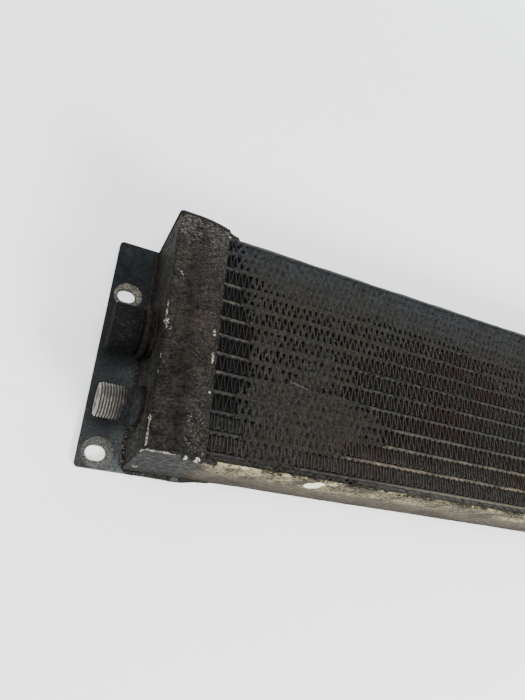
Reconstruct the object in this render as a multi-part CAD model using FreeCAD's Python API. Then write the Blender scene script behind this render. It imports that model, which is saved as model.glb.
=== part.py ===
"""Hydraulic oil cooler: a two-pass flat-tube core between two welded steel tanks.

The cooler lies on its back. X runs along the tubes from tank to tank, Y across the tubes
along the tanks, and Z through the core, from the mounting plates at z = 0 up to the open
fin face. The origin is the middle of the base of the whole cooler. Millimetres throughout.

The left tank carries both oil ports and holds a divider plate between them, so the oil
runs out through one group of tubes, turns round in the right tank and comes back.
"""
import FreeCAD, Part

import math
import os

from FreeCAD import Vector

# ---- driving dimensions -------------------------------------------------------------
TANK_LENGTH = 175.0        # along Y, over both end plates
TANK_WIDTH = 40.0          # along X, outer wall to the edge that meets the fins
TANK_CREST = 64.0          # height of the tank's crest above the base
TANK_LIP = 58.5            # height of the tank's edge beside the fins
CREST_FLAT = 12.0          # the crest is level this far in from the outer wall
CREST_BEND = 3.0           # outside radius of the bend between outer wall and crest
SHEET = 3.0                # tank sheet, end plates, header plates, divider, mounting plates

FLANGE_WIDTH = 30.0        # how far each mounting plate stands out beyond its tank
PLATE_LEDGE = 1.8          # how far the plates stand out past the tanks' near ends
FLANGE_CORNER = 3.0        # outer corner radius of a mounting plate
SLOT_LENGTH = 13.5         # mounting slots, end to end, along X
SLOT_WIDTH = 10.5
SLOT_INSET = 12.0          # slot centre from the plate's outer edge
SLOT_NEAR = 8.6            # slot centres from the near end of the tank
SLOT_FAR = 128.6

TUBE_COUNT = 12
TUBE_PITCH = 13.7
TUBE_FIRST = 8.0           # centre of the nearest tube from the near end of the tank
TUBE_THICKNESS = 3.0       # along Y
TUBE_WALL = 0.45
TUBE_BOTTOM = 4.5          # the tubes' two rounded edges, as heights above the base
TUBE_TOP = 54.0
TUBE_ENTRY = 2.0           # how far a tube stands into each tank past its header plate

FIN_PERIOD = 5.08          # one full wave: ten fin leaves per inch
FIN_PERIODS = 94
FIN_SHEET = 0.3
FIN_CREST = 0.6            # flat on each wave that is brazed to a tube
FIN_BOTTOM = 2.0
FIN_TOP = 55.0
EDGE_FIN_PERIOD = 7.8      # the coarser fin between the outermost tubes and side plates
EDGE_FIN_CREST = 0.8

SIDE_SHEET = 2.0
SIDE_NEAR = 0.7            # outer face of the near side plate from the tank's near end
SIDE_FAR = 4.2             # outer face of the far side plate from the tank's far end
SIDE_HEIGHT = 56.0
SIDE_EDGE = 0.9            # rounding of a side plate's long outer edges

TURBULATOR_PERIOD = 6.0
TURBULATOR_SHEET = 0.2
TURBULATOR_CREST = 0.9
TURBULATOR_MARGIN = 3.0    # clear of the tube's rounded edges
TURBULATOR_INSET = 4.0     # clear of the tube's two ends

PORT_HEIGHT = 32.0         # both port axes above the base
STUB_PLACE = 35.5          # small threaded stub, from the near end
STUB_RADIUS = 11.1         # 7/8 inch thread, major diameter 22.2
STUB_BORE = 8.0
STUB_REACH = 27.3          # stub's outer end from the tank wall
STUB_CHAMFER = 1.0
STUB_NECK_RADIUS = 12.5
STUB_NECK = 5.0

MAIN_PLACE = 87.5          # main port, half way along the tank
MAIN_BORE = 10.0
MAIN_NECK_RADIUS = 15.0
MAIN_NECK = 4.0
MAIN_FLANGE_RADIUS = 19.5
MAIN_FLANGE = 4.0
MAIN_THREAD_RADIUS = 13.45  # 1 1/16 inch thread, major diameter 26.9
MAIN_REACH = 24.0
CAP_RADIUS = 16.8
CAP_REACH = 28.2
CAP_END = 3.5
CAP_ROUND = 2.5
CAP_STANDOFF = 1.2         # gap between the cap's mouth and the port's flange

DIVIDER_AFTER_TUBE = 5     # the divider stands between this tube and the next

# ---- sizes that follow ---------------------------------------------------------------
CORE_LENGTH = FIN_PERIOD * FIN_PERIODS
HALF_CORE = CORE_LENGTH / 2
TANK_OUTER_X = HALF_CORE + TANK_WIDTH
HALF_LENGTH = TANK_OUTER_X + FLANGE_WIDTH
HALF_DEPTH = (TANK_LENGTH + PLATE_LEDGE) / 2
NEAR = -HALF_DEPTH + PLATE_LEDGE
FAR = HALF_DEPTH
TUBE_Y = [NEAR + TUBE_FIRST + TUBE_PITCH * index for index in range(TUBE_COUNT)]
SIDE_NEAR_Y = NEAR + SIDE_NEAR
SIDE_FAR_Y = FAR - SIDE_FAR

X_AXIS = Vector(1, 0, 0)
Y_AXIS = Vector(0, 1, 0)
Z_AXIS = Vector(0, 0, 1)


def save(name, shape):
    """Write one closed sub-part under its own name."""
    if not shape.isValid():
        raise ValueError("bad shape: " + name)
    shape.exportStep("parts/" + name + ".step")
    print(name, len(shape.Solids), "solid,", len(shape.Faces), "faces,", round(shape.Volume), "mm3")


def mirrored(shape):
    """The same piece at the right-hand end."""
    return shape.mirror(Vector(0, 0, 0), X_AXIS)


def block(low, high):
    """A box between two corners."""
    size = [high[axis] - low[axis] for axis in range(3)]
    return Part.makeBox(size[0], size[1], size[2], Vector(*low))


def rod(radius, x_start, x_end, y, z=PORT_HEIGHT):
    """A cylinder along X."""
    return Part.makeCylinder(radius, x_end - x_start, Vector(x_start, y, z), X_AXIS)


def face_of(edges):
    """A flat face from the edges round it."""
    return Part.Face(Part.Wire(edges))


# ---- tanks ---------------------------------------------------------------------------
def tank_face(inset, mouth_x, y):
    """Section of the left tank across Y, drawn inset from its outside.

    The top is level near the outer wall and then falls in one arc to the lip. mouth_x is
    where the section stops on the side of the core.
    """
    wall_x = -TANK_OUTER_X + inset
    arc_start_x = -TANK_OUTER_X + CREST_FLAT
    run = TANK_WIDTH - CREST_FLAT
    drop = TANK_CREST - TANK_LIP
    radius = (run * run + drop * drop) / (2 * drop)
    centre_z = TANK_CREST - radius
    inner_radius = radius - inset
    bend = CREST_BEND - inset

    def on_arc(x):
        return Vector(x, y, centre_z + math.sqrt(inner_radius ** 2 - (x - arc_start_x) ** 2))

    top_z = TANK_CREST - inset
    arc_start = Vector(arc_start_x, y, top_z)
    foot = Vector(wall_x, y, SHEET)
    mouth_foot = Vector(mouth_x, y, SHEET)
    edges = []
    if bend > 0:
        rise_end = Vector(wall_x, y, top_z - bend)
        turn_end = Vector(wall_x + bend, y, top_z)
        slant = bend * math.sqrt(0.5)
        turn_mid = Vector(wall_x + bend - slant, y, top_z - bend + slant)
        edges.append(Part.LineSegment(foot, rise_end).toShape())
        edges.append(Part.Arc(rise_end, turn_mid, turn_end).toShape())
        edges.append(Part.LineSegment(turn_end, arc_start).toShape())
    else:
        corner = Vector(wall_x, y, top_z)
        edges.append(Part.LineSegment(foot, corner).toShape())
        edges.append(Part.LineSegment(corner, arc_start).toShape())
    arc_mid = on_arc((arc_start_x + mouth_x) / 2)
    edges.append(Part.Arc(arc_start, arc_mid, on_arc(mouth_x)).toShape())
    edges.append(Part.LineSegment(on_arc(mouth_x), mouth_foot).toShape())
    edges.append(Part.LineSegment(mouth_foot, foot).toShape())
    return face_of(edges)


def tank_prism(inset, mouth_x, y_start, y_end):
    """The tank's section run along Y."""
    return tank_face(inset, mouth_x, y_start).extrude(Vector(0, y_end - y_start, 0))


def tank_cover():
    """Left tank's bent sheet: outer wall and crest in one piece."""
    outside = tank_prism(0, -HALF_CORE, NEAR + SHEET, FAR - SHEET)
    hollow = tank_prism(SHEET, -HALF_CORE + SHEET, NEAR, FAR)
    return outside.cut(hollow)


def end_plate(y_start):
    """Flat plate that closes one end of the left tank."""
    return tank_prism(0, -HALF_CORE, y_start, y_start + SHEET)


def tank_slice(x_start, x_end, y_start, y_end):
    """Part of the left tank's inside, filled."""
    inside = tank_prism(SHEET, -HALF_CORE + SHEET, y_start, y_end)
    return inside.common(block((x_start, y_start, 0), (x_end, y_end, TANK_CREST)))


def header_plate():
    """Left header plate, with one slot for each tube."""
    plate = tank_slice(-HALF_CORE - SHEET, -HALF_CORE, NEAR + SHEET, FAR - SHEET)
    slots = [flat_tube(y, 0, -HALF_CORE - 2 * SHEET, -HALF_CORE + SHEET) for y in TUBE_Y]
    return plate.cut(Part.makeCompound(slots))


def divider():
    """Plate across the left tank that parts the two passes."""
    y = (TUBE_Y[DIVIDER_AFTER_TUBE - 1] + TUBE_Y[DIVIDER_AFTER_TUBE] - SHEET) / 2
    return tank_slice(-TANK_OUTER_X + SHEET, -HALF_CORE - SHEET, y, y + SHEET)


def mounting_plate():
    """Left base plate: the tank's floor and, beyond it, a flange with two slots."""
    plate = block((-HALF_LENGTH, -HALF_DEPTH, 0), (-HALF_CORE, FAR, SHEET))
    corners = [edge for edge in plate.Edges if is_outer_corner(edge)]
    plate = plate.makeFillet(FLANGE_CORNER, corners)
    for place in (SLOT_NEAR, SLOT_FAR):
        plate = plate.cut(mounting_slot(NEAR + place))
    return plate


def is_outer_corner(edge):
    """True for the two upright edges at the outer end of the mounting plate."""
    ends = [vertex.Point for vertex in edge.Vertexes]
    upright = abs(ends[0].z - ends[1].z) > SHEET / 2
    return upright and abs(ends[0].x + HALF_LENGTH) < 0.01


def mounting_slot(y):
    """Cutter for one slot, round at both ends and long along X."""
    centre_x = -HALF_LENGTH + SLOT_INSET
    radius = SLOT_WIDTH / 2
    reach = SLOT_LENGTH / 2 - radius
    cutter = block((centre_x - reach, y - radius, -1), (centre_x + reach, y + radius, SHEET + 1))
    for x in (centre_x - reach, centre_x + reach):
        cutter = cutter.fuse(Part.makeCylinder(radius, SHEET + 2, Vector(x, y, -1), Z_AXIS))
    return cutter.removeSplitter()


# ---- core ----------------------------------------------------------------------------
def flat_tube(y, inset, x_start, x_end):
    """Solid bar with a flat tube's outline, drawn inset from the tube's outside."""
    radius = TUBE_THICKNESS / 2 - inset
    low_z = TUBE_BOTTOM + TUBE_THICKNESS / 2
    high_z = TUBE_TOP - TUBE_THICKNESS / 2
    left_low = Vector(x_start, y - radius, low_z)
    left_high = Vector(x_start, y - radius, high_z)
    right_low = Vector(x_start, y + radius, low_z)
    right_high = Vector(x_start, y + radius, high_z)
    edges = [
        Part.LineSegment(left_low, left_high).toShape(),
        Part.Arc(left_high, Vector(x_start, y, high_z + radius), right_high).toShape(),
        Part.LineSegment(right_high, right_low).toShape(),
        Part.Arc(right_low, Vector(x_start, y, low_z - radius), left_low).toShape(),
    ]
    return face_of(edges).extrude(Vector(x_end - x_start, 0, 0))


def tube(y):
    """One oil tube, open at both ends."""
    reach = HALF_CORE + SHEET + TUBE_ENTRY
    outside = flat_tube(y, 0, -reach, reach)
    hollow = flat_tube(y, TUBE_WALL, -reach - 1, reach + 1)
    return outside.cut(hollow)


def folded_sheet(length, period, crest, sheet, y_low, y_high, z_low, z_high):
    """Corrugated sheet along X that fills the gap from y_low to y_high.

    Each wave has a flat crest at the top and at the bottom, joined by slanting leaves. The
    two outlines of the sheet are mitred at the crests, so that its thickness is even.
    """
    waves = int(length / period)
    leaf_run = period / 2 - crest
    leaf_rise = y_high - y_low - sheet
    lean = math.atan2(leaf_rise, leaf_run)
    mitre = sheet / 2 * math.tan(lean / 2)
    outer_half = crest / 2 + mitre
    inner_half = crest / 2 - mitre
    start = -waves * period / 2
    upper = [(start, y_low + sheet), (start + inner_half, y_low + sheet)]
    lower = [(start, y_low), (start + outer_half, y_low)]
    for wave in range(waves):
        top = start + (wave + 0.5) * period
        upper.append((top - outer_half, y_high))
        upper.append((top + outer_half, y_high))
        lower.append((top - inner_half, y_high - sheet))
        lower.append((top + inner_half, y_high - sheet))
        if wave < waves - 1:
            bottom = start + (wave + 1) * period
            upper.append((bottom - inner_half, y_low + sheet))
            upper.append((bottom + inner_half, y_low + sheet))
            lower.append((bottom - outer_half, y_low))
            lower.append((bottom + outer_half, y_low))
    upper.append((-start - inner_half, y_low + sheet))
    upper.append((-start, y_low + sheet))
    lower.append((-start - outer_half, y_low))
    lower.append((-start, y_low))
    outline = [Vector(x, y, z_low) for x, y in upper + lower[::-1]]
    wire = Part.makePolygon(outline + [outline[0]])
    return Part.Face(wire).extrude(Vector(0, 0, z_high - z_low))


def fin(y_low, y_high):
    """One row of fins between two tubes."""
    return folded_sheet(
        CORE_LENGTH, FIN_PERIOD, FIN_CREST, FIN_SHEET, y_low, y_high, FIN_BOTTOM, FIN_TOP)


def edge_fin(y_low, y_high):
    """One row of the coarser fin beside a side plate."""
    return folded_sheet(
        CORE_LENGTH, EDGE_FIN_PERIOD, EDGE_FIN_CREST, FIN_SHEET, y_low, y_high,
        FIN_BOTTOM, FIN_TOP)


def turbulator(y):
    """Folded strip inside one tube, which keeps the oil stirred."""
    half = TUBE_THICKNESS / 2 - TUBE_WALL
    reach = 2 * (HALF_CORE + SHEET + TUBE_ENTRY - TURBULATOR_INSET)
    return folded_sheet(
        reach, TURBULATOR_PERIOD, TURBULATOR_CREST, TURBULATOR_SHEET, y - half, y + half,
        TUBE_BOTTOM + TURBULATOR_MARGIN, TUBE_TOP - TURBULATOR_MARGIN)


def side_plate(y_start, outer_is_low):
    """Long plate along one side of the core, its two outer edges rounded."""
    plate = block((-HALF_CORE, y_start, 0), (HALF_CORE, y_start + SIDE_SHEET, SIDE_HEIGHT))
    outer_y = y_start if outer_is_low else y_start + SIDE_SHEET
    rounded = []
    for edge in plate.Edges:
        ends = [vertex.Point for vertex in edge.Vertexes]
        is_long = abs(ends[0].x - ends[1].x) > HALF_CORE
        if is_long and abs(ends[0].y - outer_y) < 0.01:
            rounded.append(edge)
    return plate.makeFillet(SIDE_EDGE, rounded)


# ---- oil ports -----------------------------------------------------------------------
def threaded_stub():
    """Small port: a male stub through the tank wall, with its oil way open."""
    y = NEAR + STUB_PLACE
    wall_x = -TANK_OUTER_X
    tip_x = wall_x - STUB_REACH
    body = rod(STUB_RADIUS, tip_x, wall_x + SHEET, y)
    tip_edges = [edge for edge in body.Edges if is_round_at(edge, tip_x)]
    body = body.makeChamfer(STUB_CHAMFER, tip_edges)
    neck = rod(STUB_NECK_RADIUS, wall_x - STUB_NECK, wall_x, y)
    oil_way = rod(STUB_BORE, tip_x - 1, wall_x + SHEET + 1, y)
    return body.fuse(neck).cut(oil_way).removeSplitter()


def is_round_at(edge, x):
    """True for a circular edge that lies at this x."""
    is_round = isinstance(edge.Curve, Part.Circle)
    return is_round and abs(edge.Curve.Center.x - x) < 0.01


def main_port():
    """Main port: neck through the wall, a round flange, and a male threaded end."""
    y = NEAR + MAIN_PLACE
    wall_x = -TANK_OUTER_X
    flange_x = wall_x - MAIN_NECK
    neck = rod(MAIN_NECK_RADIUS, flange_x, wall_x + SHEET, y)
    flange = rod(MAIN_FLANGE_RADIUS, flange_x - MAIN_FLANGE, flange_x, y)
    thread = rod(MAIN_THREAD_RADIUS, wall_x - MAIN_REACH, flange_x, y)
    oil_way = rod(MAIN_BORE, wall_x - MAIN_REACH - 1, wall_x + SHEET + 1, y)
    return neck.fuse([flange, thread]).cut(oil_way).removeSplitter()


def blanking_cap():
    """Round cap that closes the main port: a cup over the threaded end."""
    y = NEAR + MAIN_PLACE
    wall_x = -TANK_OUTER_X
    mouth_x = wall_x - MAIN_NECK - MAIN_FLANGE - CAP_STANDOFF
    tip_x = wall_x - CAP_REACH
    body = rod(CAP_RADIUS, tip_x, mouth_x, y)
    tip_edges = [edge for edge in body.Edges if is_round_at(edge, tip_x)]
    body = body.makeFillet(CAP_ROUND, tip_edges)
    hollow = rod(MAIN_THREAD_RADIUS, tip_x + CAP_END, mouth_x + 1, y)
    return body.cut(hollow)


def main():
    os.makedirs("parts", exist_ok=True)

    wall_x = -TANK_OUTER_X
    stub_hole = rod(STUB_RADIUS, wall_x - 1, wall_x + SHEET + 1, NEAR + STUB_PLACE)
    main_hole = rod(MAIN_NECK_RADIUS, wall_x - 1, wall_x + SHEET + 1, NEAR + MAIN_PLACE)
    cover = tank_cover()
    save("tank_cover_left", cover.cut(stub_hole).cut(main_hole))
    save("tank_cover_right", mirrored(cover))

    paired = {
        "tank_end_near": end_plate(NEAR),
        "tank_end_far": end_plate(FAR - SHEET),
        "header_plate": header_plate(),
        "mounting_plate": mounting_plate(),
    }
    for name, shape in paired.items():
        save(name + "_left", shape)
        save(name + "_right", mirrored(shape))

    save("pass_divider", divider())
    save("threaded_stub", threaded_stub())
    save("main_port", main_port())
    save("blanking_cap", blanking_cap())

    save("side_plate_near", side_plate(SIDE_NEAR_Y, True))
    save("side_plate_far", side_plate(SIDE_FAR_Y - SIDE_SHEET, False))

    for index, y in enumerate(TUBE_Y, start=1):
        save("tube_%02d" % index, tube(y))
        save("turbulator_%02d" % index, turbulator(y))

    half_tube = TUBE_THICKNESS / 2
    save("edge_fin_near", edge_fin(SIDE_NEAR_Y + SIDE_SHEET, TUBE_Y[0] - half_tube))
    for index in range(TUBE_COUNT - 1):
        low_y = TUBE_Y[index] + half_tube
        high_y = TUBE_Y[index + 1] - half_tube
        save("fin_%02d" % (index + 1), fin(low_y, high_y))
    save("edge_fin_far", edge_fin(TUBE_Y[-1] + half_tube, SIDE_FAR_Y - SIDE_SHEET))


main()
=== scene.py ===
"""Looks of the hydraulic oil cooler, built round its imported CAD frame. Metres, except where
a comment says mm.

The cooler lies on its back, fin face up. X runs along the tubes, Y along the tanks. Places
on the left half are often given from the tank's outer near corner: `along` is the distance
towards the core, `up_tank` the distance from the near end.
"""

import itertools
import math

import bmesh
import bpy
import numpy as np
from mathutils import Matrix, Vector


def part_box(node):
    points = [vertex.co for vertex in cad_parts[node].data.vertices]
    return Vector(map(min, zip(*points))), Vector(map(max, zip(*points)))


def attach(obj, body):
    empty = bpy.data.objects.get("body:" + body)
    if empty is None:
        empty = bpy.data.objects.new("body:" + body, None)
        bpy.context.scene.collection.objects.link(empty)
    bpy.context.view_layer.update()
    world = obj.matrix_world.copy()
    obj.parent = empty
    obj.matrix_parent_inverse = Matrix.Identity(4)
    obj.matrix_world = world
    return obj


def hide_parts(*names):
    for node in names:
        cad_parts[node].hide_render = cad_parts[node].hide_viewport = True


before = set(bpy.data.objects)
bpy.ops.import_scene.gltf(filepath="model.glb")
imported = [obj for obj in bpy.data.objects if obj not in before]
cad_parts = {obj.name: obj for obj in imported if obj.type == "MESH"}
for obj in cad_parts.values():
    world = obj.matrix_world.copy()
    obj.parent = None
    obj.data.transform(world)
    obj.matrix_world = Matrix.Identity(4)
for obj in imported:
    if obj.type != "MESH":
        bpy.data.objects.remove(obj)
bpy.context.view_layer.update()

MM = 0.001

# ---- places read from the frame ----
LEFT, RIGHT = -1, 1
SIDE_NAME = {LEFT: "left", RIGHT: "right"}
cover_low, cover_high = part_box("tank_cover_left")
plate_low, plate_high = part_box("mounting_plate_left")
fin_low, fin_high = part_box("fin_01")
stub_low, stub_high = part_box("threaded_stub")
port_low, port_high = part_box("main_port")
cap_low, cap_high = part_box("blanking_cap")
side_low, side_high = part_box("side_plate_far")
side_near_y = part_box("side_plate_near")[0].y
edge_low, edge_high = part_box("edge_fin_near")

TUBE_YS = [(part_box("tube_%02d" % k)[0].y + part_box("tube_%02d" % k)[1].y) / 2 for k in (1, 2)]
TUBE_PITCH = TUBE_YS[1] - TUBE_YS[0]
HALF_TANK_X = -cover_low.x          # outer wall of either tank from the middle
LIP_X = -cover_high.x               # edge of either tank beside the fins
TANK_WIDTH = HALF_TANK_X - LIP_X
CREST_Z = cover_high.z
PLATE_TOP = plate_high.z
HALF_PLATE_X = -plate_low.x
NEAR_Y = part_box("tank_end_near_left")[0].y
FAR_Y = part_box("tank_end_far_left")[1].y
STUB_Y = (stub_low.y + stub_high.y) / 2
PORT_Y = (port_low.y + port_high.y) / 2
PORT_Z = (port_low.z + port_high.z) / 2

# ---- sizes that the frame's boxes don't give ----
SHEET = 3 * MM
LIP_Z = 59 * MM
CREST_FLAT = 12 * MM
CREST_BEND = 3.2 * MM
SLOT_INSET = 12 * MM
SLOT_PLACES = ((8.6 * MM, 0.42), (128.6 * MM, 0.9))  # place along the tank, how worn
WASHER_RADIUS = 10.3 * MM
TUBE_WALL = 0.45 * MM
FIN_PERIOD = 5.08 * MM
EDGE_FIN_PERIOD = 7.8 * MM
FIN_SHEET = 0.34 * MM
THREAD_PITCH = 25.4 / 14 * MM
THREAD_DEPTH = 1.05 * MM


# ---- smooth random fields ----
def wobble(points, cell, seed):
    """Smooth random values from -1 to 1 at points, with features about `cell` mm across."""
    scaled = np.asarray(points, float) / (cell * MM) + seed * 7.31
    base = np.floor(scaled)
    part = scaled - base
    part = part * part * (3 - 2 * part)
    base = base.astype(np.int64)
    total = np.zeros(scaled.shape[:-1])
    for corner in itertools.product((0, 1), repeat=3):
        key = base + np.array(corner)
        mixed = key[..., 0] * 374761393 + key[..., 1] * 668265263 + key[..., 2] * 1274126177
        mixed = mixed + seed * 1013904223
        mixed = (mixed ^ (mixed >> 13)) * 1274126177
        mixed = (mixed ^ (mixed >> 16)) & 0xFFFF
        weight = np.ones(total.shape)
        for axis, high in enumerate(corner):
            weight = weight * (part[..., axis] if high else 1 - part[..., axis])
        total = total + weight * (mixed / 32767.5 - 1)
    return total


def layers(points, cell, seed, octaves=3):
    """Wobble at several scales, each half the size and half the strength of the last."""
    total = np.zeros(np.asarray(points).shape[:-1])
    for octave in range(octaves):
        total = total + wobble(points, cell / 2 ** octave, seed + octave) / 2 ** octave
    return total


def ease(value, low, high):
    """0 below low, 1 above high, smooth between."""
    part = np.clip((value - low) / (high - low), 0, 1)
    return part * part * (3 - 2 * part)


def past(value, low, high):
    """0 below low mm, 1 above high mm, smooth between."""
    return ease(value, low * MM, high * MM)


def strongest(spots, along, up_tank, solid, faded):
    """The strongest of a table's oval spots at each place, each fading out past its middle."""
    total = np.zeros(along.shape)
    for middle, across, half_x, half_y, strength in spots:
        reach = np.hypot(
            (along - middle * MM) / (half_x * MM), (up_tank - across * MM) / (half_y * MM))
        total = np.maximum(total, strength * (1 - ease(reach, solid, faded)))
    return total


# ---- mesh helpers ----
def plate_faces(node, end):
    """A plate's box, which way its outer face looks along Y, and that face's and its back's Y."""
    low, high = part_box(node)
    return (low, high, -1, low.y, high.y) if end == "near" else (low, high, 1, high.y, low.y)


def add_object(name, data):
    """A new object in the scene."""
    thing = bpy.data.objects.new(name, data)
    bpy.context.scene.collection.objects.link(thing)
    return thing


def make_piece(name, points, faces, material, slot, nodes=(), crease=40, **fields):
    """A closed mesh piece that rides on the root body and stands for its CAD nodes.

    fields are shares from 0 to 1 for each point, such as wear, that its material reads.
    """
    mesh = bpy.data.meshes.new(name)
    mesh.from_pydata(np.asarray(points, float).tolist(), [], [list(face) for face in faces])
    mesh.validate()
    for field, values in fields.items():
        layer = mesh.attributes.new(field, "FLOAT", "POINT")
        layer.data.foreach_set("value", np.asarray(values, np.float32).ravel())
    shape = bmesh.new()
    shape.from_mesh(mesh)
    bmesh.ops.recalc_face_normals(shape, faces=shape.faces)
    shape.to_mesh(mesh)
    shape.free()
    mesh.polygons.foreach_set("use_smooth", [True] * len(mesh.polygons))
    mesh.set_sharp_from_angle(angle=math.radians(crease))
    return dress(add_object(name, mesh), material, nodes)


def dress(piece, material, nodes=()):
    """Gives a piece its material, its body and the nodes it stands for."""
    piece.data.materials.clear()
    piece.data.materials.append(material)
    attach(piece, "root")
    if nodes:
        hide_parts(*nodes)
    return piece


def slab(outer, inner):
    """Points and faces of the closed solid between two matching grids of points."""
    rows, cols = outer.shape[:2]
    count = rows * cols
    index = np.arange(count).reshape(rows, cols)
    quads = np.stack([index[:-1, :-1], index[:-1, 1:], index[1:, 1:], index[1:, :-1]], -1)
    quads = quads.reshape(-1, 4)
    rim = np.concatenate([index[0, :-1], index[:-1, -1], index[-1, :0:-1], index[:0:-1, 0]])
    following = np.roll(rim, -1)
    sides = np.stack([rim, following, following + count, rim + count], -1)
    faces = np.concatenate([quads, quads[:, ::-1] + count, sides])
    return np.concatenate([outer.reshape(-1, 3), inner.reshape(-1, 3)]), faces


def sheet_piece(name, outer, inner, material, slot, node, wear, dust):
    """A sheet between two matching grids of points, worn and dusty on its outer face."""
    points, faces = slab(outer, inner)
    idle = np.zeros(wear.size)
    return make_piece(
        name, points, faces, material, slot, [node],
        wear=np.concatenate([wear.ravel(), idle]), dust=np.concatenate([dust.ravel(), idle]))


def sweep(stations, profile):
    """Grids of the stations and of the two coordinates of a profile swept along them."""
    travel = np.repeat(stations[:, None], len(profile), 1)
    first, second = (np.repeat(profile[None, :, axis], len(stations), 0) for axis in (0, 1))
    return travel, first, second


def flat_points(x, y):
    """Points at height 0, to read noise at."""
    return np.stack([x, y, 0 * x], -1)


def ring_solid(rings):
    """Points and faces of a closed ring of rings, such as a bored turned part."""
    rows, cols = rings.shape[:2]
    index = np.arange(rows * cols).reshape(rows, cols)
    below = np.roll(index, -1, 0)
    quads = np.stack([index, np.roll(index, -1, 1), np.roll(below, -1, 1), below], -1)
    return rings.reshape(-1, 3), quads.reshape(-1, 4)


def rod_solid(rings):
    """Points and faces of a run of rings closed by a fan at each end."""
    rows, cols = rings.shape[:2]
    index = np.arange(rows * cols).reshape(rows, cols)
    quads = np.stack(
        [index[:-1], np.roll(index, -1, 1)[:-1], np.roll(index, -1, 1)[1:], index[1:]], -1)
    points = np.concatenate([rings.reshape(-1, 3), rings[0].mean(0)[None], rings[-1].mean(0)[None]])
    faces = [list(face) for face in quads.reshape(-1, 4)]
    for centre, row in ((rows * cols, index[0]), (rows * cols + 1, index[-1])):
        faces += [[centre, a, b] for a, b in zip(row, np.roll(row, -1))]
    return points, faces


# ---- materials ----
class Value:
    """A node's output, which can be added, multiplied and mapped to make a pattern."""

    def __init__(self, skin, socket):
        self.skin = skin
        self.socket = socket

    def join(self, operation, other=0.0):
        return self.skin.value("Math", self, other, operation=operation)

    def __add__(self, other):
        return self.join("ADD", other)

    def __sub__(self, number):
        return self.join("ADD", -number)

    def __mul__(self, other):
        return self.join("MULTIPLY", other)

    def between(self, low, high, out_low=0.0, out_high=1.0):
        """Maps low..high to out_low..out_high, clamped."""
        return self.skin.value("MapRange", self, low, high, out_low, out_high)


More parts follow.
